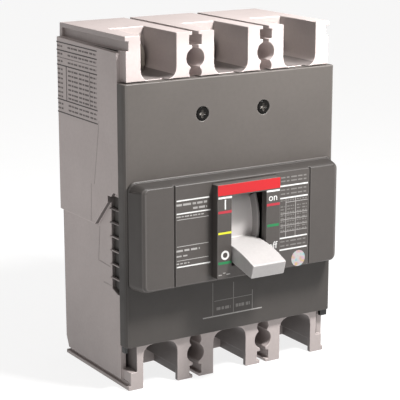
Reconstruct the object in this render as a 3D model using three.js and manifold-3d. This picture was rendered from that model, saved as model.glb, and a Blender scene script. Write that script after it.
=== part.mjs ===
// Three-pole moulded case circuit breaker, in millimetres, +Z up, +X right, front facing -Y.
// The origin is the centre of the flat back face. The handle rests in its OFF position.
import * as THREE from 'three';
import { ConvexGeometry } from 'three/addons/geometries/ConvexGeometry.js';
import { mergeVertices } from 'three/addons/utils/BufferGeometryUtils.js';
import Module from 'manifold-3d';

const wasm = await Module();
wasm.setup();

// ---------- driving dimensions ----------
const GAP = 0.3;                  // running gap kept between neighbouring pieces
const OVER = 0.5;                 // how far a cutter runs past the face it opens
const POLES = [-35, 0, 35];       // pole centres, left to right
const POLE_NAMES = ['left', 'centre', 'right'];
const SIDES = [-1, 1];
const SIDE_NAMES = ['left', 'right'];

const HALF_HEIGHT = 75;           // base, top and bottom end faces
const BASE_X = 50.6;              // base side wall, outer face
const TERMINAL_X = { top: 50.2, low: 49.6, narrow: 46.5 }; // sides of the terminal blocks
const PAD_X = 52.3;               // raised side pad, outer face
const WALL_FRONT = -53.9;         // front edge of the base's side walls
const LOW_WALL_FRONT = -50.9;     // the same below the cover
const LOW_RIB_FRONT = -56.4;      // the right side's wall stands further forward there
const FOOT_TOP = -67.2;           // top of the foot at each lower corner
const TERMINAL_FRONT = -58;       // front face of the terminal partitions
const LIP = 2;                    // thickness of the lips at the ends
const CHAMBER_BACK = -3.5;        // inner face of the back wall
const CHAMBER_END = 53;           // inner face of the end walls
const CHAMBER_SIDE = 48.4;        // inner face of the side walls
const POLE_WALL_X = 17.5;         // walls between the poles
const POLE_WALL_HALF = 1.2;

const SLOT_HALF = 8.4;            // terminal slots
const SLOT_BACK = -31;
const SLOT_FLOOR = 56.1;
const SLOT_CORNER = 5.4;
const BORE_Z = 64;                // fixing screw bores between the poles
const BORE_R = 4.3;
const SCREW_BORE_R = 3.4;
const KEYHOLE_WEB = 5.2;            // half width of the moulding left around each lower keyhole
const BORE_SEAT = -8;

const PAD_START = 58.6;           // terminal bars: where the raised pad starts, and its face
const PAD_FACE = -34.4;
const PAD_HOLE_Z = 63.5;
const PAD_HALF = 7;

const COVER_X = 52.5;
const COVER_TOP = 55.9;
const COVER_BOTTOM = -55.4;
const COVER_FRONT = -60;
const COVER_BACK = WALL_FRONT - GAP;
const COVER_SKIN = 2.5;
const COVER_RIM = 2.2;            // thickness of the cover's end rims
const COVER_EDGE_R = 2;
const COVER_SCREW = { x: 15.24, z: 40.8, headR: 2.8, shankR: 1.9 };

const NOTCH = { back: -44.7, top: 7.5, bottom: -33, drop: 1.6, skirtX: 49.3, inner: 47.7 };
const TOOTH = { count: 6, pitch: 6, top: 1.8, half: 0.34, front: -51, inner: 49.6, outer: 50.8 };

const FRAME_X = 49;               // escutcheon, at its face
const FRAME_FOOT_X = 51.4;        // and where it meets the cover
const FRAME_TOP = 15.2;
const FRAME_BOTTOM = -30.1;
const FRAME_FRONT = -68.5;
const FRAME_WALL = 2;
const WING_X = 34;                // grooves that set off the two wings
const GROOVE_HALF = 0.4;
const CORNER_STEPS = 4;           // facets of each rounded escutcheon corner
const PANEL_X = 15.8;             // raised panel around the handle
const PANEL_TOP = 12.7;
const PANEL_BOTTOM = -27.7;
const PANEL_FRONT = -72.6;
const PANEL_SKIN = 3.6;
const HANDLE_SLOT = { half: 8.7, top: 7.5, bottom: -22.7 };

const HANDLE_PIVOT = [-40, -7.6]; // points of the mechanism are [y, z]
const HANDLE_HALF = 8.2;
const HANDLE_TILT = -17;          // direction of the handle at OFF, degrees below straight out
const SHIELD_R = 22.3;
const SHIELD_SPAN = 60;
const CHEEK_R = 27;
const CHEEK_SPAN = 45;
const CHEEK_OUTER = 9.4;
const WINDOW = { half: 10.2, reach: 21.5 }; // the cover's opening round the handle
const PIN_R = 1.5;
const PIN_END = 11.6;             // pivot pins end just outside the mechanism plates

const CROSSBAR = [-22, -8];       // crossbar axis
const CROSSBAR_R = 6;
const CROSSBAR_CORE_R = 2.5;
const CROSSBAR_END = 46.5;
const ARM_OPEN = 28;              // the contact arms stand this many degrees off their closed place
const ARM_REACH = 38;
const ARM_HALF = 3;
const LEVER_REACH = 9;
const LEVER_OPEN = 40;            // lever direction when open, degrees above straight forward
const LINK_UPPER = 8;
const LINK_LOWER = 11.6;
const LINK_ANCHOR = [-44, 6];     // the upper link's pivot on the cradle
const CRADLE_PIVOT = [-47, 19];
const CRADLE_NOSE = [-33.5, -27];
const KNEE_DRIFT = [0.52, -0.55]; // how far the knee pin wanders in the lower link's eye
const PIN_HOLE_R = 1.55;           // link holes round the 1.2 mm pins
const SPRING_REACH = 16;
const TRIP_BAR = [-46, -34];
const TRIP_BAR_R = 3;
const LATCH_PIVOT = [-31, -35];
const LATCH_PIN_R = 0.9;

// ---------- materials ----------
function finish(color, roughness, metalness = 0) {
  return new THREE.MeshStandardMaterial({ color, roughness, metalness });
}

const MATERIALS = {
  base: finish('#b9b1ad', 0.55),
  cover: finish('#6f6b67', 0.5),
  escutcheon: finish('#6b6662', 0.48),
  handle: finish('#d9d5d2', 0.4),
  black: finish('#161514', 0.45),
  steel: finish('#9a9c9e', 0.35, 0.9),
  copper: finish('#b87348', 0.35, 0.9),
  tinned: finish('#b9b6ae', 0.35, 0.9),
  silver: finish('#cfcfcb', 0.3, 0.95),
  thermoset: finish('#3a2f2a', 0.6),
  bimetal: finish('#a8926a', 0.35, 0.85),
  fibre: finish('#7c5b43', 0.7),
};

// ---------- shape helpers ----------
function solidOf(geometry) {
  const bare = geometry.clone();
  bare.deleteAttribute('normal');
  bare.deleteAttribute('uv');
  const merged = mergeVertices(bare, 1e-4);
  return new wasm.Manifold(new wasm.Mesh({
    numProp: 3,
    vertProperties: new Float32Array(merged.attributes.position.array),
    triVerts: new Uint32Array(merged.index.array),
  }));
}

function geometryOf(solid) {
  const mesh = solid.getMesh();
  const geometry = new THREE.BufferGeometry();
  geometry.setAttribute('position', new THREE.BufferAttribute(new Float32Array(mesh.vertProperties), 3));
  geometry.setIndex(new THREE.BufferAttribute(new Uint32Array(mesh.triVerts), 1));
  geometry.computeVertexNormals();
  return geometry;
}

function box(x, y, z) {
  const [x0, x1] = x;
  const [y0, y1] = y;
  const [z0, z1] = z;
  const geometry = new THREE.BoxGeometry(Math.abs(x1 - x0), Math.abs(y1 - y0), Math.abs(z1 - z0));
  geometry.translate((x0 + x1) / 2, (y0 + y1) / 2, (z0 + z1) / 2);
  return solidOf(geometry);
}

function extrude(outline, depth, segments = 4) {
  return new THREE.ExtrudeGeometry(outline, { depth, bevelEnabled: false, curveSegments: segments });
}

function outlineOf(points) {
  return new THREE.Shape(points.map(([a, b]) => new THREE.Vector2(a, b)));
}

// An outline in (y, z), run along X from x0 to x1.
function sidePrism(outline, x0, x1, segments) {
  const geometry = extrude(outline, x1 - x0, segments);
  const turn = new THREE.Matrix4().makeBasis(
    new THREE.Vector3(0, 1, 0), new THREE.Vector3(0, 0, 1), new THREE.Vector3(1, 0, 0));
  geometry.applyMatrix4(turn);
  geometry.translate(x0, 0, 0);
  return solidOf(geometry);
}

// An outline in (x, z), run along -Y from the back plane to the front plane.
function frontPrism(outline, back, front, segments) {
  const geometry = extrude(outline, back - front, segments);
  geometry.rotateX(Math.PI / 2);
  geometry.translate(0, back, 0);
  return solidOf(geometry);
}

// An outline in (x, y), run along Z from z0 to z1.
function planPrism(outline, z0, z1, segments) {
  const geometry = extrude(outline, z1 - z0, segments);
  geometry.translate(0, 0, z0);
  return solidOf(geometry);
}

// A rod along X through the point [y, z].
function rodX([y, z], radius, x0, x1, sides = 12) {
  const geometry = new THREE.CylinderGeometry(radius, radius, x1 - x0, sides);
  geometry.rotateZ(Math.PI / 2);
  geometry.translate((x0 + x1) / 2, y, z);
  return solidOf(geometry);
}

// A rod along Y through the point [x, z].
function rodY([x, z], radius, back, front, sides = 20) {
  const geometry = new THREE.CylinderGeometry(radius, radius, back - front, sides);
  geometry.translate(x, (back + front) / 2, z);
  return solidOf(geometry);
}

function join(parts) {
  return parts.reduce((sum, part) => sum.add(part));
}

function cut(body, cutters) {
  return cutters.reduce((rest, cutter) => rest.subtract(cutter), body);
}

function bothSides(make) {
  return SIDES.map(make);
}

// The span between two distances from the centre plane, on one side of it.
function span(side, near, far) {
  return side > 0 ? [near, far] : [-far, -near];
}

// A point [y, z] at a distance from a centre, in a direction measured up from straight forward.
function polar([y, z], radius, degrees) {
  const angle = THREE.MathUtils.degToRad(degrees);
  return [y - radius * Math.cos(angle), z + radius * Math.sin(angle)];
}

// Part of a ring about a centre [y, z], between two directions measured up from straight forward.
function ringSector(centre, inner, outer, from, to) {
  const steps = Math.max(2, Math.round((to - from) / 10));
  const angles = Array.from({ length: steps + 1 }, (_, i) => from + ((to - from) * i) / steps);
  const rim = angles.map((angle) => polar(centre, outer, angle));
  const root = inner > 0 ? angles.map((angle) => polar(centre, inner, angle)).reverse() : [centre];
  return outlineOf([...rim, ...root]);
}

// A straight bar between two points [y, z] with round ends, as an outline in (y, z).
function barOutline(from, to, half) {
  const angle = Math.atan2(to[1] - from[1], to[0] - from[0]);
  const outline = new THREE.Shape();
  outline.absarc(to[0], to[1], half, angle - Math.PI / 2, angle + Math.PI / 2, false);
  outline.absarc(from[0], from[1], half, angle + Math.PI / 2, angle + (3 * Math.PI) / 2, false);
  return outline;
}

// A slot open at one end, with two round corners at its closed end.
function slotOutline(centre, half, floor, mouth, radius) {
  const up = Math.sign(mouth - floor);
  const outline = new THREE.Shape();
  outline.moveTo(centre - half, mouth);
  outline.lineTo(centre - half, floor + up * radius);
  outline.quadraticCurveTo(centre - half, floor, centre - half + radius, floor);
  outline.lineTo(centre + half - radius, floor);
  outline.quadraticCurveTo(centre + half, floor, centre + half, floor + up * radius);
  outline.lineTo(centre + half, mouth);
  return outline;
}

// A rectangle in (x, y) whose two front corners are round.
function frontRoundedOutline(half, back, front, radius) {
  const outline = new THREE.Shape();
  outline.moveTo(half, back);
  outline.lineTo(-half, back);
  outline.lineTo(-half, front + radius);
  outline.quadraticCurveTo(-half, front, -half + radius, front);
  outline.lineTo(half - radius, front);
  outline.quadraticCurveTo(half, front, half, front + radius);
  return outline;
}

const object = new THREE.Group();

function place(name, solid, material, parent = object) {
  const mesh = new THREE.Mesh(geometryOf(solid), material);
  mesh.name = name;
  parent.add(mesh);
  return mesh;
}

// ---------- base ----------
function baseShell() {
  const full = [-BASE_X, BASE_X];
  const core = box(full, [0, LOW_WALL_FRONT], [-HALF_HEIGHT, HALF_HEIGHT]);
  const upperWall = box(full, [LOW_WALL_FRONT + 1, WALL_FRONT], [COVER_BOTTOM - 2, HALF_HEIGHT]);
  const depth = [LOW_WALL_FRONT + 1, TERMINAL_FRONT];
  const rightRib = box([TERMINAL_X.narrow, BASE_X], [LOW_WALL_FRONT + 1, LOW_RIB_FRONT],
    [FOOT_TOP - 2, COVER_BOTTOM - 0.5]);
  const topBlock = box([-TERMINAL_X.top, TERMINAL_X.top], depth, [COVER_TOP + GAP, HALF_HEIGHT]);
  const lowBlock = box([-TERMINAL_X.low, TERMINAL_X.low], depth, [-HALF_HEIGHT, COVER_BOTTOM - GAP]);
  const lips = SIDES.map((end) => box(full, depth, [end * HALF_HEIGHT, end * (HALF_HEIGHT - LIP - 1)]));
  const pads = bothSides((side) => {
    const outline = outlineOf([[-GAP, 69], [WALL_FRONT, 68], [WALL_FRONT, 9.5], [-49.6, 9.5],
      [-33, -7.3], [-GAP, -7.3]]);
    return sidePrism(outline, ...span(side, BASE_X - 1, PAD_X));
  });
  return join([core, upperWall, rightRib, topBlock, lowBlock, ...lips, ...pads]);
}

function poleChambers() {
  const edges = [[-CHAMBER_SIDE, -POLE_WALL_X - POLE_WALL_HALF],
    [-POLE_WALL_X + POLE_WALL_HALF, POLE_WALL_X - POLE_WALL_HALF],
    [POLE_WALL_X + POLE_WALL_HALF, CHAMBER_SIDE]];
  return edges.map((edge) => box(edge, [CHAMBER_BACK, COVER_FRONT], [-CHAMBER_END, CHAMBER_END]));
}

function terminalCuts(end) {
  const mouth = end * (HALF_HEIGHT + OVER);
  return POLES.flatMap((x) => [
    frontPrism(slotOutline(x, SLOT_HALF, end * SLOT_FLOOR, mouth, SLOT_CORNER),
      SLOT_BACK, TERMINAL_FRONT - OVER, 5),
    box([x - 6.6, x + 6.6], [-24, SLOT_BACK - 0.1], [end * (PAD_HOLE_Z - 6.5), end * (PAD_HOLE_Z + 6.5)]),
    box([x - 7.3, x + 7.3], [SLOT_BACK, -34.2], [end * (CHAMBER_END - 0.1), end * (SLOT_FLOOR + 4)]),
  ]);
}

function keyholeCuts(end) {
  const front = TERMINAL_FRONT - OVER;
  return SIDES.flatMap((side) => {
    const x = side * POLE_WALL_X;
    return [
      rodY([x, end * BORE_Z], BORE_R, BORE_SEAT, front),
      rodY([x, end * BORE_Z], SCREW_BORE_R, OVER, BORE_SEAT - 1, 24),
      rodY([x, end * 58], 3, -44, front, 16),
      box([x - 3, x + 3], [-30, front], [end * 69.4, end * 73.6]),
      box([x - 1.5, x + 1.5], [OVER, front], [end * 67, end * (HALF_HEIGHT + OVER)]),
    ];
  });
}

function undersideCuts() {
  const depth = [SLOT_BACK, -55.8];
  const height = [-HALF_HEIGHT - OVER, -69];
  return SIDES.flatMap((side) => [
    box(span(side, SLOT_HALF - 0.1, POLE_WALL_X - KEYHOLE_WEB), depth, height),
    box(span(side, POLE_WALL_X + KEYHOLE_WEB, POLES[2] - SLOT_HALF + 0.1), depth, height),
    box(span(side, POLES[2] + SLOT_HALF - 0.1, 47), depth, height),
  ]);
}

// The side notch for the cover's skirt: its lower edge drops a little towards the front.
function notchOutline(gap) {
  const front = WALL_FRONT - 1;
  return outlineOf([[NOTCH.back - gap, NOTCH.top - gap], [front, NOTCH.top - gap],
    [front, NOTCH.bottom - NOTCH.drop + gap], [-49.6, NOTCH.bottom - NOTCH.drop + gap],
    [NOTCH.back - gap, NOTCH.bottom + gap]]);
}

// The recess above each foot: the wall stands back behind the narrow partition, with a groove between.
function lowCornerCuts(side) {
  const wallFront = side < 0 ? LOW_WALL_FRONT : LOW_RIB_FRONT;
  const front = TERMINAL_FRONT - OVER;
  const top = COVER_BOTTOM - GAP;
  return [
    box(span(side, TERMINAL_X.low, PAD_X + 1), [wallFront, front], [LIP - HALF_HEIGHT, top]),
    box(span(side, TERMINAL_X.narrow, PAD_X + 1), [wallFront, front], [FOOT_TOP, top]),
    box(span(side, TERMINAL_X.narrow, 47.8), [-46, front], [FOOT_TOP, top]),
  ];
}

function sideCuts() {
  return SIDES.flatMap((side) => {
    const chamfer = outlineOf([[OVER, -65.5], [-2.2, -71.5], [-2.2, -73.3], [OVER, -73.3]]);
    return [
      box(span(side, 49, PAD_X + 1), [-2.2, TERMINAL_FRONT - OVER], [69, HALF_HEIGHT - LIP]),
      box(span(side, 49.4, PAD_X + 1), [-2, TERMINAL_FRONT + 2], [-73.4, -71.8]),
      sidePrism(chamfer, ...span(side, 46, PAD_X + 1)),
      sidePrism(notchOutline(0), ...span(side, NOTCH.inner + 0.2, PAD_X + 1)),
      ...lowCornerCuts(side),
    ];
  });
}

function poleWallCuts() {
  return SIDES.flatMap((side) => [
    box(span(side, 16, 19), [-15.3, WALL_FRONT - 1], [CROSSBAR[1] - 7, CROSSBAR[1] + 7]),
    box(span(side, 16, 19), [TRIP_BAR[0] + 5.5, WALL_FRONT - 1], [TRIP_BAR[1] - 4.5, TRIP_BAR[1] + 4.5]),
  ]);
}

function baseHousing() {
  const ends = SIDES.flatMap((end) => [...terminalCuts(end), ...keyholeCuts(end)]);
  const shell = cut(baseShell(), [...poleChambers(), ...ends, ...undersideCuts(), ...sideCuts()]);
  const teeth = SIDES.flatMap((side) => Array.from({ length: TOOTH.count }, (_, i) => {
    const z = TOOTH.top - i * TOOTH.pitch;
    const height = [z - TOOTH.half, z + TOOTH.half];
    return box(span(side, TOOTH.inner, TOOTH.outer), [NOTCH.back + 1, TOOTH.front], height);
  }));
  const screws = SIDES.map((side) => [side * COVER_SCREW.x, COVER_SCREW.z]);
  const bosses = screws.map((at) => rodY(at, 3.6, -20, WALL_FRONT, 16));
  const pilots = screws.map((at) => rodY(at, 2.2, -31, COVER_FRONT, 12));
  return cut(join([shell, ...teeth, ...bosses]), [...pilots, ...poleWallCuts()]);
}

// ---------- front cover, escutcheon and handle panel ----------
function coverShell() {
  const outline = frontRoundedOutline(COVER_X, COVER_BACK, COVER_FRONT, COVER_EDGE_R);
  const outer = planPrism(outline, COVER_BOTTOM, COVER_TOP, 3);
  const inner = box([-49.8, 49.8], [COVER_BACK + OVER, COVER_FRONT + COVER_SKIN],
    [COVER_BOTTOM + COVER_RIM, COVER_TOP - COVER_RIM]);
  return outer.subtract(inner);
}

function coverFittings() {
  const inside = COVER_FRONT + 1;
  return SIDES.flatMap((side) => [
    sidePrism(notchOutline(GAP), ...span(side, NOTCH.inner, NOTCH.skirtX)),
    box(span(side, NOTCH.inner, 51), [COVER_BACK - 0.2, inside], [NOTCH.bottom, NOTCH.top - GAP]),
    box(span(side, 16.5, 18.5), [COVER_BACK, inside], [COVER_BOTTOM + 1, COVER_TOP - 1]),
    rodY([side * COVER_SCREW.x, COVER_SCREW.z], 4, COVER_BACK, inside, 16),
  ]);
}

function frontCover() {
  const window = box([-WINDOW.half, WINDOW.half], [COVER_BACK, COVER_FRONT - OVER],
    [HANDLE_PIVOT[1] - WINDOW.reach, HANDLE_PIVOT[1] + WINDOW.reach]);
  const screwCuts = SIDES.flatMap((side) => {
    const at = [side * COVER_SCREW.x, COVER_SCREW.z];
    return [
      rodY(at, COVER_SCREW.headR + GAP, COVER_FRONT + 1.6, COVER_FRONT - OVER, 20),
      rodY(at, COVER_SCREW.shankR + GAP, COVER_BACK + OVER, COVER_FRONT - OVER, 12),
    ];
  });
  return cut(join([coverShell(), ...coverFittings()]), [window, ...screwCuts]);
}

// A block whose section, a rectangle with round corners, changes from one level to the next.
// Each level is [y, half width, lower edge, upper edge, corner radius].
function taperedBlock(levels) {
  const points = levels.flatMap(([y, half, low, high, radius]) => {
    const centres = [[half - radius, high - radius], [radius - half, high - radius],
      [radius - half, low + radius], [half - radius, low + radius]];
    return centres.flatMap(([x, z], quarter) => Array.from({ length: CORNER_STEPS + 1 }, (_, i) => {
      const angle = (quarter + i / CORNER_STEPS) * (Math.PI / 2);
      return new THREE.Vector3(x + radius * Math.cos(angle), y, z + radius * Math.sin(angle));
    }));
  });
  return solidOf(new ConvexGeometry(points));
}

function escutcheon() {
  const back = COVER_FRONT - GAP;
  const body = taperedBlock([
    [back, FRAME_FOOT_X, FRAME_BOTTOM, FRAME_TOP, 3.2],
    [FRAME_FRONT + 2.7, FRAME_X + 0.8, FRAME_BOTTOM, FRAME_TOP - 0.5, 3],
    [FRAME_FRONT + 0.8, FRAME_X, FRAME_BOTTOM + 0.4, FRAME_TOP - 0.9, 2.6],
    [FRAME_FRONT, FRAME_X - 1.3, FRAME_BOTTOM + 1.1, FRAME_TOP - 1.5, 2],
  ]);
  const flange = taperedBlock([
    [back, FRAME_FOOT_X + 0.1, 0, FRAME_TOP + 0.8, 3.6],
    [back - 0.9, FRAME_FOOT_X - 0.3, 0, FRAME_TOP + 0.5, 3.2],
  ]);
  const hollowX = FRAME_X - FRAME_WALL;
  const hollow = box([-hollowX, hollowX], [back + OVER, FRAME_FRONT + 2.4],
    [FRAME_BOTTOM + FRAME_WALL, FRAME_TOP - FRAME_WALL - 1]);
  const opening = box([-PANEL_X - GAP, PANEL_X + GAP], [back + OVER, FRAME_FRONT - OVER],
    [PANEL_BOTTOM - GAP, PANEL_TOP + GAP]);
  const grooves = SIDES.map((side) => box(span(side, WING_X - GROOVE_HALF, WING_X + GROOVE_HALF),
    [FRAME_FRONT + 0.8, FRAME_FRONT - OVER], [FRAME_BOTTOM - 1, FRAME_TOP + 1]));
  return cut(body.add(flange), [hollow, opening, ...grooves]);
}

function handlePanel() {
  const back = COVER_FRONT - GAP;
  const outer = box([-PANEL_X, PANEL_X], [back, PANEL_FRONT], [PANEL_BOTTOM, PANEL_TOP]);
  const hollow = box([-13.4, 13.4], [back + OVER, PANEL_FRONT + PANEL_SKIN],
    [PANEL_BOTTOM + 1, PANEL_TOP - 0.8]);
  const slot = box([-HANDLE_SLOT.half, HANDLE_SLOT.half], [back, PANEL_FRONT - OVER],
    [HANDLE_SLOT.bottom, HANDLE_SLOT.top]);
  return cut(outer, [hollow, slot]);
}

function coverScrew(side) {
  const at = [side * COVER_SCREW.x, COVER_SCREW.z];
  const head = rodY(at, COVER_SCREW.headR, COVER_FRONT + 1.3, COVER_FRONT, 20);
  const shank = rodY(at, COVER_SCREW.shankR, -32, COVER_FRONT + 0.5, 12);
  const recess = [[1.7, 0.45], [0.45, 1.7]].map(([w, h]) => box(
    [at[0] - w, at[0] + w], [COVER_FRONT + 0.9, COVER_FRONT - OVER], [at[1] - h, at[1] + h]));
  return cut(head.add(shank), recess);
}

// The right clip sits in front of the wall's rib; the left one has only its outer edge clear of the wall.
function coverClip(side) {
  const [inner, back, front] = side < 0 ? [50.3, -54.6, -57] : [48.4, LOW_RIB_FRONT - GAP, -58.6];
  return box(span(side, inner, 51.9), [back, front], [-58.4, COVER_BOTTOM - GAP]);
}

// ---------- handle ----------
function gripOutline() {
  const outline = new THREE.Shape();
  outline.moveTo(-61, -13.9);
  outline.quadraticCurveTo(-74, -12.6, -88.3, -19.2);
  outline.lineTo(-86.7, -25);
  outline.lineTo(-72.3, -21.6);
  outline.lineTo(-59.2, -18.6);
  return outline;
}

function toggleHandle() {
  const shieldOutline = ringSector(HANDLE_PIVOT, SHIELD_R - 2, SHIELD_R,
    HANDLE_TILT - SHIELD_SPAN, HANDLE_TILT + SHIELD_SPAN);
  const shield = sidePrism(shieldOutline, -CHEEK_OUTER, CHEEK_OUTER);
  const cheeks = bothSides((side) => {
    const sector = ringSector(HANDLE_PIVOT, 0, CHEEK_R, HANDLE_TILT - CHEEK_SPAN, HANDLE_TILT + CHEEK_SPAN);
    const range = span(side, HANDLE_HALF, CHEEK_OUTER);
    return sidePrism(sector, ...range).add(rodX(HANDLE_PIVOT, 4, ...range));
  });
  const grip = sidePrism(gripOutline(), -HANDLE_HALF, HANDLE_HALF, 6);
  const bore = rodX(HANDLE_PIVOT, PIN_R + GAP, -CHEEK_OUTER - 1, CHEEK_OUTER + 1, 12);
  return join([shield, ...cheeks, grip]).subtract(bore);
}

function handleArm() {
  const anchor = polar(HANDLE_PIVOT, SPRING_REACH, HANDLE_TILT);
  const end = polar(HANDLE_PIVOT, SHIELD_R - 4.6, HANDLE_TILT);
  const legs = bothSides((side) => sidePrism(barOutline(HANDLE_PIVOT, end, 2.4), ...span(side, 6.5, 7.9)));
  const bridge = ringSector(HANDLE_PIVOT, SHIELD_R - 4, SHIELD_R - 2.4, HANDLE_TILT - 12, HANDLE_TILT + 12);
  const cross = rodX(anchor, 1, -6.8, 6.8, 10);
  const bore = rodX(HANDLE_PIVOT, PIN_R + GAP, -9, 9, 12);
  return cut(join([...legs, sidePrism(bridge, -7.9, 7.9), cross]), [bore]);
}

// ---------- linkage ----------
const LEVER_TIP = polar(CROSSBAR, LEVER_REACH, LEVER_OPEN);

// The knee is where the two links meet: a known distance from each end, on the lower side.
function kneePoint() {
  const dy = LEVER_TIP[0] - LINK_ANCHOR[0];
  const dz = LEVER_TIP[1] - LINK_ANCHOR[1];
  const reach = Math.hypot(dy, dz);
  const along = (LINK_UPPER ** 2 - LINK_LOWER ** 2 + reach ** 2) / (2 * reach);
  const off = Math.sqrt(LINK_UPPER ** 2 - along ** 2);
  const stepY = (along * dy + off * dz) / reach;
  const stepZ = (along * dz - off * dy) / reach;
  return [LINK_ANCHOR[0] + stepY, LINK_ANCHOR[1] + stepZ];
}

const KNEE = kneePoint();

function crossbar() {
  const edges = [[-CROSSBAR_END, POLES[0] - ARM_HALF - GAP], [POLES[0] + ARM_HALF + GAP, -ARM_HALF - GAP],
    [ARM_HALF + GAP, POLES[2] - ARM_HALF - GAP], [POLES[2] + ARM_HALF + GAP, CROSSBAR_END]];
  const drums = edges.map(([from, to]) => rodX(CROSSBAR, CROSSBAR_R, from, to, 16));
  const core = rodX(CROSSBAR, CROSSBAR_CORE_R, -CROSSBAR_END, CROSSBAR_END, 12);
  const levers = bothSides((side) => sidePrism(barOutline(CROSSBAR, LEVER_TIP, 2), ...span(side, 5, 6)));
  const studs = bothSides((side) => rodX(LEVER_TIP, 1.2, ...span(side, ARM_HALF + 0.5, 5.5), 10));
  return join([core, ...drums, ...levers, ...studs]);
}

function upperLink() {
  const bar = barOutline(LINK_ANCHOR, KNEE, 2.2);
  const plates = bothSides((side) => sidePrism(bar, ...span(side, 5.2, 6.2)));
  const kneePin = rodX(KNEE, 1.2, -6, 6, 12);
  const bore = rodX(LINK_ANCHOR, 1.2 + GAP, -7, 7, 12);
  return join([...plates, kneePin]).subtract(bore);
}

// The eye at the knee is long, because the pin drifts in it through the middle of the stroke.
function lowerLink() {
  const middle = [(KNEE[0] + LEVER_TIP[0]) / 2, (KNEE[1] + LEVER_TIP[1]) / 2];
  const drift = [KNEE[0] + KNEE_DRIFT[0], KNEE[1] + KNEE_DRIFT[1]];
  const eye = [KNEE[0] + KNEE_DRIFT[0] / 2, KNEE[1] + KNEE_DRIFT[1] / 2];
  const bar = barOutline(LEVER_TIP, eye, 2.75);
  const plates = bothSides((side) => sidePrism(bar, ...span(side, 3.6, 4.7)));
  const tie = rodX(middle, 1, -4, 4, 8);
  const slot = sidePrism(barOutline(KNEE, drift, PIN_HOLE_R), -7, 7);
  return cut(join([...plates, tie]), [rodX(LEVER_TIP, PIN_HOLE_R, -7, 7, 12), slot]);
}

function mainSpring(side) {
  const from = polar(HANDLE_PIVOT, SPRING_REACH, HANDLE_TILT);
  const wireR = 0.45;
  const coilR = 1.9;
  const turns = 5;
  const stepsPerTurn = 7;
  const length = Math.hypot(KNEE[0] - from[0], KNEE[1] - from[1]);
  const direction = [(KNEE[0] - from[0]) / length, (KNEE[1] - from[1]) / length];
  const start = 2.2;
  const run = length - 2 * start - 1.4;
  const points = Array.from({ length: turns * stepsPerTurn + 1 }, (_, i) => {
    const turn = (i / stepsPerTurn) * 2 * Math.PI;
    const along = start + (run * i) / (turns * stepsPerTurn);
    const outX = coilR * Math.cos(turn);
    const outN = coilR * Math.sin(turn);
    return new THREE.Vector3(side * 2.6 + outX,
      from[0] + along * direction[0] - outN * direction[1],
      from[1] + along * direction[1] + outN * direction[0]);
  });
  const wire = outlineOf(Array.from({ length: 5 }, (_, i) => {
    const angle = (i / 5) * 2 * Math.PI;
    return [wireR * Math.cos(angle), wireR * Math.sin(angle)];
  }));
  const path = new THREE.CatmullRomCurve3(points);
  const steps = turns * stepsPerTurn;
  return solidOf(new THREE.ExtrudeGeometry(wire, { steps, bevelEnabled: false, extrudePath: path }));
}

function sidePlate(side) {
  const outline = outlineOf([[CHAMBER_BACK - GAP, -24], [CHAMBER_BACK - GAP, 12], [-20, 26], [-50, 24],
    [-53, 16], [-53, -14], [-46, -22], [-36, -24], [-34, -38.5], [-28, -38.5], [-24, -24]]);
  const range = span(side, 10, 11.4);
  const wide = span(side, 9, 12);
  return cut(sidePrism(outline, ...range), [
    rodX(CROSSBAR, CROSSBAR_R + 0.8, ...wide, 16),
    box(wide, [CROSSBAR[0], OVER], [CROSSBAR[1] - CROSSBAR_R - 0.8, CROSSBAR[1] + CROSSBAR_R + 0.8]),
    rodX(HANDLE_PIVOT, PIN_R + GAP, ...wide, 12),
    rodX(LINK_ANCHOR, 2.2, ...wide, 12),
    rodX(CRADLE_PIVOT, PIN_R + GAP, ...wide, 12),
    rodX(LATCH_PIVOT, LATCH_PIN_R + GAP, ...wide, 10),
    rodX(CRADLE_NOSE, 2.4, ...wide, 12),
  ]);
}

function cradle() {
  const plates = bothSides((side) => {
    const range = span(side, 11.9, 13.1);
    return sidePrism(barOutline(CRADLE_PIVOT, LINK_ANCHOR, 3.2), ...range)
      .add(sidePrism(barOutline(LINK_ANCHOR, [-44, -16], 2.6), ...range))
      .add(sidePrism(barOutline([-44, -16], CRADLE_NOSE, 2.2), ...range));
  });
  const linkPin = rodX(LINK_ANCHOR, 1.2, -13, 13, 12);
  const nosePin = rodX(CRADLE_NOSE, 1.4, -13, 13, 12);
  const bore = rodX(CRADLE_PIVOT, PIN_R + GAP, -14, 14, 12);
  return join([...plates, linkPin, nosePin]).subtract(bore);
}

function latch() {
  const plate = outlineOf([[-30.2, -29.2], [-34.3, -29.2], [-34.3, -30.6], [-32.6, -30.6], [-32.6, -37],
    [-29.4, -37], [-29.4, -31]]);
  const body = sidePrism(plate, -5, 5);
  return body.subtract(rodX(LATCH_PIVOT, LATCH_PIN_R + GAP, -6, 6, 10));
}

function tripBar() {
  const [y, z] = TRIP_BAR;
  const bar = rodX(TRIP_BAR, TRIP_BAR_R, -46, 46, 16);
  const fingers = POLES.map((x) => sidePrism(
    outlineOf([[y, z + 1.6], [-39.2, z + 4.4], [-39.2, z + 2.8], [y, z - 1]]), x - 3.5, x + 3.5));
  return join([bar, ...fingers]);
}

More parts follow.
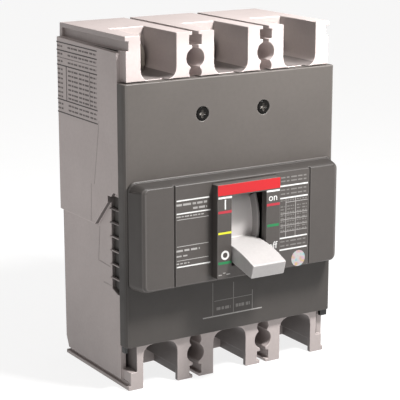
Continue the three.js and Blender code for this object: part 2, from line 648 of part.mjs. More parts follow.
// ---------- current path, one set for each pole ----------
// The bar steps forward into its pad, which stands clear of the wall that the bar passes under.
function terminalBar(x, end, backPlane, inner) {
  const back = backPlane - 2.5;
  const outline = [[-31.3, PAD_HOLE_Z], [-31.3, 52.7], [backPlane, 52.7], [backPlane, inner],
    [back, inner], [back, 50.2], [-33.8, 50.2], [-33.8, PAD_START],
    [PAD_FACE, PAD_START], [PAD_FACE, PAD_HOLE_Z]];
  const shape = outlineOf(outline.map(([y, z]) => [y, end * z]));
  const at = [x, end * PAD_HOLE_Z];
  const bar = sidePrism(shape, x - PAD_HALF, x + PAD_HALF);
  const round = rodY(at, PAD_HALF, -31.3, PAD_FACE, 32);
  return bar.add(round).subtract(rodY(at, 4.2, -30, -36, 16));
}

function terminalNut(x, end) {
  const body = box([x - 6.3, x + 6.3], [-24.3, -30.9], [end * (PAD_HOLE_Z - 6.2), end * (PAD_HOLE_Z + 6.2)]);
  return body.subtract(rodY([x, end * PAD_HOLE_Z], 3.4, -23, -32, 12));
}

function fixedTip(x) {
  return box([x - 3.2, x + 3.2], [-15.8, -17.3], [22, 30]);
}

// The arm is drawn closed, straight up from the crossbar, and turned open by its group.
function contactArm(x) {
  const beam = box([x - ARM_HALF, x + ARM_HALF], [-2.3, 2.3], [3, ARM_REACH]);
  const hub = rodX([0, 0], 5.6, x - ARM_HALF, x + ARM_HALF, 16);
  return beam.add(hub).subtract(rodX([0, 0], CROSSBAR_CORE_R + GAP, x - 4, x + 4, 12));
}

function movingTip(x) {
  return box([x - ARM_HALF, x + ARM_HALF], [2.3 + GAP, 4.4], [30.5, 37.5]);
}

function arcChute(x) {
  const boards = [[-11, -10], [10, 11]].map(([from, to]) => {
    return box([x + from, x + to], [-18.3, -56], [31, 49.8]);
  });
  const plates = Array.from({ length: 8 }, (_, i) => {
    const y = -21 - i * 4.6;
    return box([x - 10.2, x + 10.2], [y, y - 1.2], [32, 49.2]);
  });
  const mouth = outlineOf([[x - 5, 31], [x + 5, 31], [x + 2, 40], [x - 2, 40]]);
  return join([...boards, ...plates]).subtract(frontPrism(mouth, -18, -57));
}

function bimetal(x) {
  const outline = outlineOf([[-9.4, -49.9], [-9.4, -48.7], [-36, -48.7], [-36, -31],
    [-37.2, -31], [-37.2, -49.9]]);
  return sidePrism(outline, x - 4, x + 4);
}

function magnetYoke(x) {
  const web = box([x - 8.8, x + 8.8], [-3.8, -6.2], [-46, -36]);
  const legs = [[-8.8, -7.3], [7.3, 8.8]].map(([from, to]) => {
    return box([x + from, x + to], [-3.8, -24], [-46, -36]);
  });
  return join([web, ...legs]);
}

function armature(x) {
  return box([x - 8.5, x + 8.5], [-26.5, -27.7], [-47, -34]);
}

function braid(x) {
  const outline = new THREE.Shape();
  outline.moveTo(-9.3, -35);
  outline.lineTo(-9.3, -27);
  outline.quadraticCurveTo(-10.5, -17, -19, -14.6);
  outline.lineTo(-20.2, -16);
  outline.quadraticCurveTo(-12.6, -18.4, -11, -27);
  outline.lineTo(-11, -35);
  return sidePrism(outline, x - 2.8, x + 2.8, 5);
}

// ---------- the breaker ----------
place('base_housing', baseHousing(), MATERIALS.base);
place('front_cover', frontCover(), MATERIALS.cover);
place('escutcheon', escutcheon(), MATERIALS.escutcheon);
place('handle_panel', handlePanel(), MATERIALS.escutcheon);
place('toggle_handle', toggleHandle(), MATERIALS.handle);
place('handle_arm', handleArm(), MATERIALS.steel);
place('handle_pivot_pin', rodX(HANDLE_PIVOT, PIN_R, -PIN_END, PIN_END, 12), MATERIALS.steel);
place('crossbar', crossbar(), MATERIALS.thermoset);
place('upper_link', upperLink(), MATERIALS.steel);
place('lower_link', lowerLink(), MATERIALS.steel);
place('cradle', cradle(), MATERIALS.steel);
place('cradle_pin', rodX(CRADLE_PIVOT, PIN_R, -13.4, 13.4, 12), MATERIALS.steel);
place('latch', latch(), MATERIALS.steel);
place('latch_pin', rodX(LATCH_PIVOT, LATCH_PIN_R, -PIN_END, PIN_END, 10), MATERIALS.steel);
place('trip_bar', tripBar(), MATERIALS.black);

SIDES.forEach((side, i) => {
  place(`cover_screw_${SIDE_NAMES[i]}`, coverScrew(side), MATERIALS.black);
  place(`cover_clip_${SIDE_NAMES[i]}`, coverClip(side), MATERIALS.black);
  place(`main_spring_${SIDE_NAMES[i]}`, mainSpring(side), MATERIALS.steel);
  place(`mechanism_plate_${SIDE_NAMES[i]}`, sidePlate(side), MATERIALS.steel);
});

const openArms = new THREE.Group();
openArms.position.set(0, ...CROSSBAR);
openArms.rotation.x = THREE.MathUtils.degToRad(ARM_OPEN);
object.add(openArms);

POLES.forEach((x, i) => {
  const pole = POLE_NAMES[i];
  place(`line_terminal_${pole}`, terminalBar(x, 1, -13, 21.5), MATERIALS.tinned);
  place(`load_terminal_${pole}`, terminalBar(x, -1, -6.5, 26), MATERIALS.tinned);
  place(`line_nut_${pole}`, terminalNut(x, 1), MATERIALS.steel);
  place(`load_nut_${pole}`, terminalNut(x, -1), MATERIALS.steel);
  place(`fixed_contact_${pole}`, fixedTip(x), MATERIALS.silver);
  place(`contact_arm_${pole}`, contactArm(x), MATERIALS.copper, openArms);
  place(`moving_contact_${pole}`, movingTip(x), MATERIALS.silver, openArms);
  place(`arc_chute_${pole}`, arcChute(x), MATERIALS.fibre);
  place(`bimetal_${pole}`, bimetal(x), MATERIALS.bimetal);
  place(`magnet_yoke_${pole}`, magnetYoke(x), MATERIALS.steel);
  place(`armature_${pole}`, armature(x), MATERIALS.steel);
  place(`braid_${pole}`, braid(x), MATERIALS.copper);
});

export default object;
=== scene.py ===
import math

import bmesh
import bpy
from mathutils import Matrix, Vector


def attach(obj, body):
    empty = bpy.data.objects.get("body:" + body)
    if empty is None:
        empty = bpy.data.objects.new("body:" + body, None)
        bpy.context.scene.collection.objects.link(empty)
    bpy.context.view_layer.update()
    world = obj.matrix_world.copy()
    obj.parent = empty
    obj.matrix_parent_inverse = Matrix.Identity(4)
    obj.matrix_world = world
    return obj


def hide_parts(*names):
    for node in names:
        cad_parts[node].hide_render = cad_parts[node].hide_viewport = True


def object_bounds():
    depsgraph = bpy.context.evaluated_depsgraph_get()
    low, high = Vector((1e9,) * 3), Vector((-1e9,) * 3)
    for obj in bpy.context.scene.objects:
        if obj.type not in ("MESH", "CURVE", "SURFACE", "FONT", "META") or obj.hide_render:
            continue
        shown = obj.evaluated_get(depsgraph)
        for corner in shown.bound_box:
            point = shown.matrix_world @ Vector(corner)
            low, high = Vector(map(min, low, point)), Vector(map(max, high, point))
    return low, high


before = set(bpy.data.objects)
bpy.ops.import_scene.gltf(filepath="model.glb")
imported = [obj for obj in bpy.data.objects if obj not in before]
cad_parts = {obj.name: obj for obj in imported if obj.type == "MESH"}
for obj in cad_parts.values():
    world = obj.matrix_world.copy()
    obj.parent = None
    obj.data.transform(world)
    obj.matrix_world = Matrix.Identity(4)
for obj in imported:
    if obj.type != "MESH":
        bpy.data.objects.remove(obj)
cad_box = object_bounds()

MM = 0.001

# The places of the faces that carry print, in millimetres.
COVER_FACE = -60.0
FRAME_FACE = -68.5
PANEL_FACE = -72.6
SIDE_FACE = -52.3
LOW_SIDE_FACE = -50.6

POLES = (-35, 0, 35)              # middles of the terminal slots, x
SHIELD_CENTRE = (-40, -7.6)       # the handle's pivot, y and z
SHIELD_R = 22.3
SCREW_X, SCREW_Z = 15.24, 40.8

PRINT_HEIGHT = 0.05               # how far a mark stands out of its face
PRINT_DEPTH = 0.05                # how far it reaches in
RING_STEPS = 40
BEVEL_ANGLE = 30                  # edges sharper than this are rounded, in degrees
THIN_BEVEL = 0.2                  # share of the full width at a thin edge

RELIEF_DEPTH = 6e-5               # depth of the surface grain, in metres
MAP_HALF = 80                     # half height of the range that by_height() covers

IMAGE_WIDTH = 400
FOCAL_PIXELS = 1483.54
SENSOR = 36
CAMERA_PLACE = (-0.33525, -0.5749, 0.15122)
CAMERA_PITCH, CAMERA_TURN = 0.23823, 0.55423

CLIP = (0.01, 20)

WHITE = (1, 1, 1, 1)
WORLD_TINT = (1.0, 0.975, 0.96, 1)
WORLD_LEVELS = (0.12, 0.46)       # the world's light at the horizon and at WORLD_TOP
WORLD_TOP = 0.9                   # up direction, 1 is straight up
FLOOR_HALF, FLOOR_DROP = 6.0, 0.0002
FLOOR_GLOW = (0.60, 0.81)         # the floor's own light in front of the object and elsewhere
GLOW_SLANT = 1.62                 # the glow changes along x + 1.62 y ...
GLOW_FROM, GLOW_TO = -0.42, -0.19 # ... between these two values, in metres

# The parts of the base that get painted shade: distance from the slot's middle, |z| and y of the terminal
# slots, then boxes of |x|, y and z, all in millimetres.
SLOT_HALF_UPPER, SLOT_HALF_LOWER = 8.6, 13
SLOT_END = 56
SLOT_Y = (-57.8, -30.9)
PAD_SLANT = ((50.7, 52.2), (-49.8, -32.8), (-7.6, 9.6))
TOOTHED_RECESS = ((46.5, 50.9), (-51.6, -44.5), (-34.5, 7.6))
RECESS_MOUTH = 50.2               # |x| beyond which the toothed recess is less dark

# Masks of painted light: the shield's skin and half width, then the reach and depths of the screws' cross
# recesses for their painted highlight, in millimetres.
SHIELD_SKIN, SHIELD_HALF = 0.9, 9
CROSS_REACH, CROSS_DEPTHS = 2.3, (0.08, 2.5)

# The gap between the handle panel and the escutcheon: its middle line and half its filling's width.
GAP_X, GAP_LOW, GAP_HIGH = 15.95, -27.85, 12.85
GAP_HALF = 0.17
GAP_RIM = 0.35                    # how far the rim of the opening reaches out from the middle line

# ------------------------------------------------------------------ stage, light and camera


def put(name, data):
    made = bpy.data.objects.new(name, data)
    bpy.context.scene.collection.objects.link(made)
    return made


def aim(thing, target):
    direction = Vector(target) - thing.location
    thing.rotation_mode = "QUATERNION"
    thing.rotation_quaternion = direction.to_track_quat("-Z", "Y")


def area_light(name, place, target, size, power, colour=(1, 1, 1)):
    data = bpy.data.lights.new(name, "AREA")
    data.shape = "RECTANGLE"
    data.size, data.size_y = size
    data.energy = power
    data.color = colour
    lamp = put(name, data)
    lamp.location = place
    aim(lamp, target)
    lamp.visible_camera = False


def studio():
    """A pale room, darker low down, with one soft lamp above the front and a weak one before it."""
    world = bpy.data.worlds.new("studio")
    bpy.context.scene.world = world
    world.use_nodes = True
    tree = world.node_tree
    back = tree.nodes["Background"]
    socket(back, "Color", WORLD_TINT)
    where = grown(tree, "TexCoord")
    parts = grown(tree, "SeparateXYZ")
    tree.links.new(where.outputs["Generated"], parts.inputs["Vector"])
    height = grown(tree, "MapRange")
    socket(height, "From Min", 0.0)
    socket(height, "From Max", WORLD_TOP)
    socket(height, "To Min", WORLD_LEVELS[0])
    socket(height, "To Max", WORLD_LEVELS[1])
    tree.links.new(parts.outputs["Z"], height.inputs["Value"])
    tree.links.new(height.outputs["Result"], back.inputs["Strength"])
    area_light("key", (0.08, -0.215, 0.265), (0, -0.06, 0.01), (0.07, 0.07), 2.65, (1.0, 0.99, 0.98))
    area_light("front", (0.30, -0.70, 0.25), (0, -0.06, 0.03), (0.4, 0.4), 0.25)
    bpy.context.scene.view_settings.view_transform = "Standard"


def camera():
    data = bpy.data.cameras.new("camera")
    data.sensor_width = SENSOR
    data.lens = FOCAL_PIXELS / IMAGE_WIDTH * SENSOR
    data.clip_start, data.clip_end = CLIP
    made = put("camera", data)
    made.location = CAMERA_PLACE
    made.rotation_euler = (math.pi / 2 - CAMERA_PITCH, 0, -CAMERA_TURN)
    bpy.context.scene.camera = made


def floor():
    """A pale sheet with a glow of its own, which is weaker in front of the object."""
    ground = bpy.data.meshes.new("floor")
    half, low = FLOOR_HALF, cad_box[0].z - FLOOR_DROP
    corners = [(-half, -half, low), (half, -half, low), (half, half, low), (-half, half, low)]
    ground.from_pydata(corners, [], [(0, 1, 2, 3)])
    made = put("floor", ground)
    paper = paint("floor_paper", (0.28, 0.28, 0.28), 0.8, fine=600, mottle=0.01)
    tree = paper.node_tree
    shader = tree.nodes["Principled BSDF"]
    socket(shader, "Emission Color", WHITE)
    parts = grown(tree, "SeparateXYZ")
    tree.links.new(grown(tree, "TexCoord").outputs["Object"], parts.inputs["Vector"])
    ahead = grown(tree, "Math", operation="MULTIPLY_ADD")
    ahead.inputs[1].default_value = GLOW_SLANT
    tree.links.new(parts.outputs["Y"], ahead.inputs[0])
    tree.links.new(parts.outputs["X"], ahead.inputs[2])
    glow = grown(tree, "MapRange")
    socket(glow, "From Min", GLOW_FROM)
    socket(glow, "From Max", GLOW_TO)
    socket(glow, "To Min", FLOOR_GLOW[0])
    socket(glow, "To Max", FLOOR_GLOW[1])
    tree.links.new(ahead.outputs["Value"], glow.inputs["Value"])
    tree.links.new(glow.outputs["Result"], shader.inputs["Emission Strength"])
    ground.materials.append(paper)


# ------------------------------------------------------------------ materials


def socket(node, name, value):
    node.inputs[name].default_value = value


def grown(tree, kind, **values):
    node = tree.nodes.new("ShaderNode" + kind)
    for name, value in values.items():
        setattr(node, name, value)
    return node


def noise(tree, where, scale, detail=3.0, stretch=None):
    node = grown(tree, "TexNoise")
    socket(node, "Scale", scale)
    socket(node, "Detail", detail)
    source = where.outputs["Object"]
    if stretch:
        mapping = grown(tree, "Mapping")
        socket(mapping, "Scale", stretch)
        tree.links.new(source, mapping.inputs["Vector"])
        source = mapping.outputs["Vector"]
    tree.links.new(source, node.inputs["Vector"])
    return node


def ramp(tree, factor, low, high, start=0.3, end=0.7):
    node = grown(tree, "ValToRGB")
    first, last = node.color_ramp.elements
    first.position, first.color = start, (*low, 1)
    last.position, last.color = end, (*high, 1)
    tree.links.new(factor, node.inputs["Fac"])
    return node


def blended(tree, kind, amount, one, other):
    node = grown(tree, "Mix", data_type="RGBA", blend_type=kind)
    for slot, value in ((0, amount), (6, one), (7, other)):
        if isinstance(value, bpy.types.NodeSocket):
            tree.links.new(value, node.inputs[slot])
        else:
            node.inputs[slot].default_value = value
    return node.outputs[2]


def spread(tree, factor, low, high):
    node = grown(tree, "MapRange")
    socket(node, "From Min", 0.3)
    socket(node, "From Max", 0.7)
    socket(node, "To Min", low)
    socket(node, "To Max", high)
    tree.links.new(factor, node.inputs["Value"])
    return node.outputs["Result"]


def by_height(tree, where, levels):
    """A grey of painted shade that changes with the height, given as pairs of height in mm and level."""
    parts = grown(tree, "SeparateXYZ")
    tree.links.new(where.outputs["Object"], parts.inputs["Vector"])
    height = grown(tree, "MapRange")
    socket(height, "From Min", -MAP_HALF * MM)
    socket(height, "From Max", MAP_HALF * MM)
    tree.links.new(parts.outputs["Z"], height.inputs["Value"])
    steps = grown(tree, "ValToRGB")
    points = steps.color_ramp.elements
    greys = [((place + MAP_HALF) / (2 * MAP_HALF), (level, level, level, 1))
             for place, level in levels]
    points[0].position, points[0].color = greys[0]
    points[1].position, points[1].color = greys[-1]
    for place, grey in greys[1:-1]:
        points.new(place).color = grey
    tree.links.new(height.outputs["Result"], steps.inputs["Fac"])
    return steps.outputs["Color"]


def paint(name, colour, rough, fine=2400, mottle=0.04, relief=0.10, metal=0.0,
          edge=0.0, stretch=None, inner=0.0, shade=None):
    """A procedural surface: slow and fine colour change, painted highlights on the edges, uneven gloss and
    a fine relief.

    edge lightens the rounded edges as a painted highlight, inner darkens the marked faces as painted shade
    (or, below nought, lightens them as painted light), and shade is a list of heights and levels of painted
    shade.
    """
    made = bpy.data.materials.new(name)
    made.use_nodes = True
    made.diffuse_color = (*colour, 1)
    tree = made.node_tree
    shader = tree.nodes["Principled BSDF"]
    where = grown(tree, "TexCoord")
    slow = noise(tree, where, 38, 2.0, stretch)
    grain = noise(tree, where, fine, 4.0, stretch)
    speck = noise(tree, where, fine * 0.28, 2.0, stretch)
    low = tuple(c * (1 - mottle) for c in colour)
    high = tuple(min(1.0, c * (1 + mottle)) for c in colour)
    tone = ramp(tree, slow.outputs["Fac"], low, high).outputs["Color"]
    pepper = ramp(tree, speck.outputs["Fac"], (0.96,) * 3, (1.0,) * 3, 0.35, 0.6).outputs["Color"]
    tone = blended(tree, "MULTIPLY", 1.0, tone, pepper)
    # Painted highlight: the rounded edges are made lighter where light catches them.
    if edge:
        edge_highlight = grown(tree, "Attribute", attribute_name="edge")
        lighter = tuple(min(1.0, c * (1 + edge) + 0.02) for c in colour)
        tone = blended(tree, "MIX", edge_highlight.outputs["Fac"], tone, (*lighter, 1))
    # Painted shade: the colour is darkened by height where shadow falls.
    if shade:
        tone = blended(tree, "MULTIPLY", 1.0, tone, by_height(tree, where, shade))
    # Painted shade on the marked faces where shade falls; below nought, painted light instead.
    if inner:
        painted_light_and_shade = grown(tree, "Attribute", attribute_name="inner")
        dark = tuple(c * (1 - inner) for c in colour)
        tone = blended(tree, "MIX", painted_light_and_shade.outputs["Fac"], tone, (*dark, 1))
    tree.links.new(tone, shader.inputs["Base Color"])
    gloss = noise(tree, where, 160, 3.0, stretch)
    uneven = spread(tree, gloss.outputs["Fac"], rough - 0.05, rough + 0.05)
    tree.links.new(uneven, shader.inputs["Roughness"])
    bump = grown(tree, "Bump")
    socket(bump, "Strength", relief)
    socket(bump, "Distance", RELIEF_DEPTH)
    tree.links.new(grain.outputs["Fac"], bump.inputs["Height"])
    tree.links.new(bump.outputs["Normal"], shader.inputs["Normal"])
    socket(shader, "Metallic", metal)
    return made


def dull(name, level):
    """A look with a weaker sheen."""
    socket(LOOKS[name].node_tree.nodes["Principled BSDF"], "Specular IOR Level", level)


# Painted shade by height in millimetres, in the moulding's tone: soft shade low down, under the escutcheon,
# on the base's top and on the top bevel.
BASE_SHADE = ((-75, 0.70), (-45, 0.84), (0, 1.0), (68, 1.0), (73, 0.84))
COVER_SHADE = ((-57, 0.60), (-46, 0.60), (-34, 0.47), (-28, 0.45), (15, 1.0))
ESCUTCHEON_SHADE = ((13.4, 1.0), (13.8, 0.55), (15.2, 0.5), (15.5, 0.9))

# edge gives painted highlights on the rounded edges, inner gives painted shade in the base's slots and
# recesses and painted light on the shield and the screws' cross recesses, and shade gives painted shade by
# height.
LOOKS = {
    "base_plastic": paint("base_plastic", (0.468, 0.409, 0.396), 0.5, edge=0.10, inner=0.75,
                          shade=BASE_SHADE),
    "cover_plastic": paint("cover_plastic", (0.084, 0.075, 0.069), 0.52, fine=1900, relief=0.16,
                           edge=0.1, shade=COVER_SHADE),
    "escutcheon_plastic": paint("escutcheon_plastic", (0.058, 0.051, 0.047), 0.5, fine=1900,
                                relief=0.12, edge=0.15, shade=ESCUTCHEON_SHADE),
    "handle_plastic": paint("handle_plastic", (0.36, 0.345, 0.34), 0.42, fine=2600, relief=0.05,
                            edge=0.15, inner=-1.1),
    "black_plastic": paint("black_plastic", (0.012, 0.012, 0.012), 0.45, edge=0.9),
    "black_steel": paint("black_steel", (0.007, 0.0065, 0.006), 0.2, inner=-26),
    "steel": paint("steel", (0.52, 0.52, 0.53), 0.34, metal=1.0, mottle=0.08, stretch=(1, 1, 12)),
    "copper": paint("copper", (0.72, 0.36, 0.22), 0.36, metal=1.0, mottle=0.10, stretch=(1, 8, 1)),
    "tinned_copper": paint("tinned_copper", (0.66, 0.64, 0.58), 0.38, metal=0.85, mottle=0.07, edge=0.1),
    "silver": paint("silver", (0.75, 0.75, 0.74), 0.3, metal=1.0, mottle=0.06),
    "crossbar_plastic": paint("crossbar_plastic", (0.06, 0.038, 0.028), 0.5),
    "bimetal": paint("bimetal", (0.56, 0.46, 0.3), 0.36, metal=1.0, mottle=0.08, stretch=(1, 1, 9)),
    "arc_chute_fibre": paint("arc_chute_fibre", (0.24, 0.13, 0.08), 0.65, mottle=0.12, relief=0.3),
}

dull("black_steel", 0.12)
dull("cover_plastic", 0.36)

# Which look each node takes: the first beginning that fits its name.
NODE_LOOKS = (
    ("base_housing", "base_plastic"),
    ("front_cover", "cover_plastic"),
    ("escutcheon", "escutcheon_plastic"),
    ("handle_panel", "escutcheon_plastic"),
    ("toggle_handle", "handle_plastic"),
    ("cover_screw", "black_steel"),
    ("cover_clip", "black_plastic"),
    ("crossbar", "crossbar_plastic"),
    ("line_terminal", "tinned_copper"),
    ("load_terminal", "tinned_copper"),
    ("contact_arm", "copper"),
    ("braid", "copper"),
    ("fixed_contact", "silver"),
    ("moving_contact", "silver"),
    ("arc_chute", "arc_chute_fibre"),
    ("bimetal", "bimetal"),
    ("trip_bar", "black_plastic"),
    ("", "steel"),
)


def look_of(node):
    return next(look for start, look in NODE_LOOKS if node.startswith(start))


def dress_nodes():
    for name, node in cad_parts.items():
        for slot in node.material_slots:
            slot.material = LOOKS[look_of(name)]


# ------------------------------------------------------------------ finished copies of the moulded pieces


def clean_mesh(node):
    """The node's mesh with its corners joined and its flat areas made whole."""
    mesh = bmesh.new()
    mesh.from_mesh(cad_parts[node].data)
    bmesh.ops.remove_doubles(mesh, verts=mesh.verts, dist=2e-6)
    bmesh.ops.join_triangles(mesh, faces=mesh.faces, angle_face_threshold=math.radians(0.5),
                             angle_shape_threshold=math.pi)
    bmesh.ops.recalc_face_normals(mesh, faces=mesh.faces)
    data = bpy.data.meshes.new(node + "_clean")
    mesh.to_mesh(data)
    mesh.free()
    return data


def within(place, region):
    return all(low < value < high for value, (low, high) in zip(place, region))


def mark_painted_shade(data):
    """Painted shade: the insides of the terminal slots are darkened, their floors most, and so are the
    toothed side recesses and the slanted edges of the raised side pads, where shadow falls."""
    painted_light_and_shade = data.attributes.new("inner", "FLOAT", "FACE")
    for face in data.polygons:
        x, y, z = face.center / MM
        beside = min(abs(x - pole) for pole in POLES)
        half = SLOT_HALF_UPPER if z > 0 else SLOT_HALF_LOWER
        if beside < half and abs(z) > SLOT_END and SLOT_Y[0] < y < SLOT_Y[1]:
            facing = face.normal
            bed, wall = (0.9, 0.35) if z > 0 else (1.0, 1.0)
            is_bed = facing.z * z > 0.5 * abs(z)
            painted_light_and_shade.data[face.index].value = bed if is_bed else wall * abs(facing.x)
        elif within((abs(x), y, z), PAD_SLANT):
            painted_light_and_shade.data[face.index].value = 0.9
        elif within((abs(x), y, z), TOOTHED_RECESS):
            painted_light_and_shade.data[face.index].value = 0.45 if abs(x) > RECESS_MOUTH else 0.8


def mark_shield_painted_light(data):
    """Painted light: the curved dust shield is made lighter than the grip, where light falls on it."""
    painted_light_and_shade = data.attributes.new("inner", "FLOAT", "FACE")
    for face in data.polygons:
        x, y, z = face.center / MM
        reach = math.hypot(y - SHIELD_CENTRE[0], z - SHIELD_CENTRE[1])
        painted_light_and_shade.data[face.index].value = float(abs(reach - SHIELD_R) < SHIELD_SKIN
                                               and abs(x) < SHIELD_HALF)


def mark_recess_painted_highlight(data):
    """Painted highlight: the cross recess of a screw is made lighter than its black head, where light
    glints in it.
    """
    painted_light_and_shade = data.attributes.new("inner", "FLOAT", "FACE")
    head = min(vertex.co.y for vertex in data.vertices) / MM
    for face in data.polygons:
        x, y, z = face.center / MM
        reach = math.hypot(abs(x) - SCREW_X, z - SCREW_Z)
        inside = CROSS_DEPTHS[0] < y - head < CROSS_DEPTHS[1]
        painted_light_and_shade.data[face.index].value = float(reach < CROSS_REACH and inside)


def mark_edges(data):
    """The bevelled faces, which the modifier gave the second material, become the edge attribute of the
    painted edge highlight.
    """
    edge_highlight = data.attributes.new("edge", "FLOAT", "FACE")
    for face in data.polygons:
        edge_highlight.data[face.index].value = float(face.material_index)
        face.material_index = 0
    while len(data.materials) > 1:
        data.materials.pop(index=1)


def bevel_weights(data, thin):
    """Sharp edges are rounded; those that thin() picks only a little."""
    mesh = bmesh.new()
    mesh.from_mesh(data)
    weight = mesh.edges.layers.float.new("bevel_weight_edge")
    for edge in mesh.edges:
        if len(edge.link_faces) == 2 and edge.calc_face_angle(0.0) > math.radians(BEVEL_ANGLE):
            middle = (edge.verts[0].co + edge.verts[1].co) / (2 * MM)
            edge[weight] = THIN_BEVEL if thin and thin(middle) else 1.0
    mesh.to_mesh(data)
    mesh.free()


def finished(node, name, body, width, segments=2, thin=None):
    """A copy of a node with rounded edges, which stands for it."""
    data = clean_mesh(node)
    bevel_weights(data, thin)
    look = look_of(node)
    data.materials.clear()
    data.materials.append(LOOKS[look])
    data.materials.append(LOOKS[look])
    for face in data.polygons:
        face.material_index = 0
        face.use_smooth = True
    piece = put(name + "_rough", data)
    bevel = piece.modifiers.new("edges", "BEVEL")
    bevel.width = width * MM
    bevel.segments = segments
    bevel.limit_method = "WEIGHT"
    bevel.use_clamp_overlap = False
    bevel.face_strength_mode = "FSTR_ALL"
    bevel.material = 1
    bevel.miter_outer = "MITER_ARC"
    flat = piece.modifiers.new("normals", "WEIGHTED_NORMAL")
    flat.use_face_influence = True
    flat.weight = 100
    graph = bpy.context.evaluated_depsgraph_get()
    done = bpy.data.meshes.new_from_object(piece.evaluated_get(graph))
    done.name = name
    bpy.data.objects.remove(piece)
    mark_edges(done)
    # Painted shade on the base's slots and recesses, painted light on the shield and a painted highlight in
    # the screws' cross recesses.
    if node == "base_housing":
        mark_painted_shade(done)
    if node == "toggle_handle":
        mark_shield_painted_light(done)
    if node.startswith("cover_screw"):
        mark_recess_painted_highlight(done)
    made = put(name, done)
    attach(made, body)
    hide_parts(node)


# ------------------------------------------------------------------ print


BOX_FACES = ((0, 1, 3, 2), (4, 6, 7, 5), (0, 4, 5, 1), (2, 3, 7, 6), (0, 2, 6, 4), (1, 5, 7, 3))


def boxes_mesh(name, boxes):
    """One mesh of plain closed boxes, each given by its low and high corner in millimetres."""
    data = bpy.data.meshes.new(name)
    points, faces = [], []
    for low, high in boxes:
        first = len(points)
        for x in (low[0], high[0]):
            for y in (low[1], high[1]):
                for z in (low[2], high[2]):
                    points.append((x * MM, y * MM, z * MM))
        faces += [[first + i for i in corners] for corners in BOX_FACES]
    data.from_pydata(points, [], faces)
    return data


def printed(name, data, material, body="housing"):
    data.materials.append(material)
    made = put(name, data)
    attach(made, body)


def front_print(name, face, marks, material):
    """Flat marks on a face that looks forward: each is x, z, width, height about its middle."""
    boxes = []
    for x, z, width, height in marks:
        low = (x - width / 2, face - PRINT_HEIGHT, z - height / 2)
        high = (x + width / 2, face + PRINT_DEPTH, z + height / 2)
        boxes.append((low, high))
    printed(name, boxes_mesh(name, boxes), material)


INK = {
    "white": paint("white_ink", (0.62, 0.62, 0.61), 0.5, fine=3000, mottle=0.05, relief=0.1),
    "soft": paint("soft_white_ink", (0.30, 0.29, 0.28), 0.5, fine=3000, mottle=0.12, relief=0.1),
    "faint": paint("faint_ink", (0.15, 0.142, 0.135), 0.5, fine=3000, mottle=0.12, relief=0.1),
    "red": paint("red_ink", (0.42, 0.006, 0.010), 0.5, fine=3000, mottle=0.03, relief=0.05),
    "red_bar": paint("red_bar_ink", (0.36, 0.02, 0.035), 0.45, fine=3000, mottle=0.05, relief=0.05),
    "yellow": paint("yellow_ink", (0.56, 0.56, 0.02), 0.45, fine=3000, mottle=0.03, relief=0.05),
    "green": paint("green_ink", (0.008, 0.17, 0.055), 0.45, fine=3000, mottle=0.05, relief=0.05),
    "dark": paint("dark_ink", (0.045, 0.035, 0.033), 0.5, fine=3000, mottle=0.10, relief=0.1),
    "grey": paint("grey_ink", (0.12, 0.10, 0.095), 0.5, fine=3000, mottle=0.10, relief=0.1),
}


def panel_print():
    front_print("strip_red", PANEL_FACE, [(0, 10.35, 31.2, 4.5)], INK["red"])
    white = [(-12.1, 7.15, 6.6, 0.75), (12.1, 7.15, 6.6, 0.75)]
    front_print("panel_bars_white", PANEL_FACE, white, INK["white"])
    red = [(-12.1, 1.0, 6.6, 1.1), (12.1, 1.2, 6.6, 1.1)]
    front_print("panel_bars_red", PANEL_FACE, red, INK["red_bar"])
    front_print("panel_bar_yellow", PANEL_FACE, [(-12.1, -8.0, 6.6, 0.9)], INK["yellow"])
    green = [(-12.1, -20.9, 6.6, 1.1), (12.1, -7.9, 6.0, 1.1)]
    front_print("panel_bars_green", PANEL_FACE, green, INK["green"])
    front_print("panel_mark_i", PANEL_FACE, [(-12.0, 4.2, 0.6, 4.2)], INK["white"])
    dashes = [(-14.4, -26.0, 1.6, 0.45), (-12.4, -25.3, 1.2, 0.4), (-10.4, -26.0, 1.9, 0.45)]
    front_print("panel_dashes", PANEL_FACE, dashes, INK["soft"])


def ring(name, centre, outer, inner, face, material):
    data = bpy.data.meshes.new(name)
    points, faces = [], []
    for i in range(RING_STEPS):
        angle = 2 * math.pi * i / RING_STEPS
        for radius in (inner, outer):
            for y in (face - PRINT_HEIGHT, face + PRINT_DEPTH):
                x = centre[0] + radius * math.cos(angle)
                z = centre[1] + radius * math.sin(angle)
                points.append((x * MM, y * MM, z * MM))
    for i in range(RING_STEPS):
        a, b = 4 * i, 4 * ((i + 1) % RING_STEPS)
        faces += [(a, b, b + 2, a + 2), (a + 1, a + 3, b + 3, b + 1)]
        faces += [(a, a + 1, b + 1, b), (a + 2, b + 2, b + 3, a + 3)]
    data.from_pydata(points, [], faces)
    printed(name, data, material)


def lettering(name, text, centre, size, face, material):
    curve = bpy.data.curves.new(name, "FONT")
    curve.body = text
    curve.size = size * MM
    curve.align_x = "CENTER"
    curve.align_y = "CENTER"
    curve.extrude = PRINT_HEIGHT * MM
    curve.resolution_u = 4
    drawn = put(name + "_curve", curve)
    graph = bpy.context.evaluated_depsgraph_get()
    data = bpy.data.meshes.new_from_object(drawn.evaluated_get(graph))
    bpy.data.objects.remove(drawn)
    data.transform(Matrix.Rotation(math.pi / 2, 4, "X"))
    data.transform(Matrix.Translation((centre[0] * MM, face * MM, centre[1] * MM)))
    mesh = bmesh.new()
    mesh.from_mesh(data)
    bmesh.ops.remove_doubles(mesh, verts=mesh.verts, dist=1e-6)
    mesh.to_mesh(data)
    mesh.free()
    data.name = name
    data.materials.clear()
    printed(name, data, material)


def dashes_between(start, end, z, height, pattern):
    """A broken row that stands for a line of small print: pattern gives dash and gap lengths in turn."""
    marks, x, i = [], start, 0
    while x < end:
        length = min(pattern[i % len(pattern)], end - x)
        if i % 2 == 0:
            marks.append((x + length / 2, z, length, height))
        x += length
        i += 1
    return marks


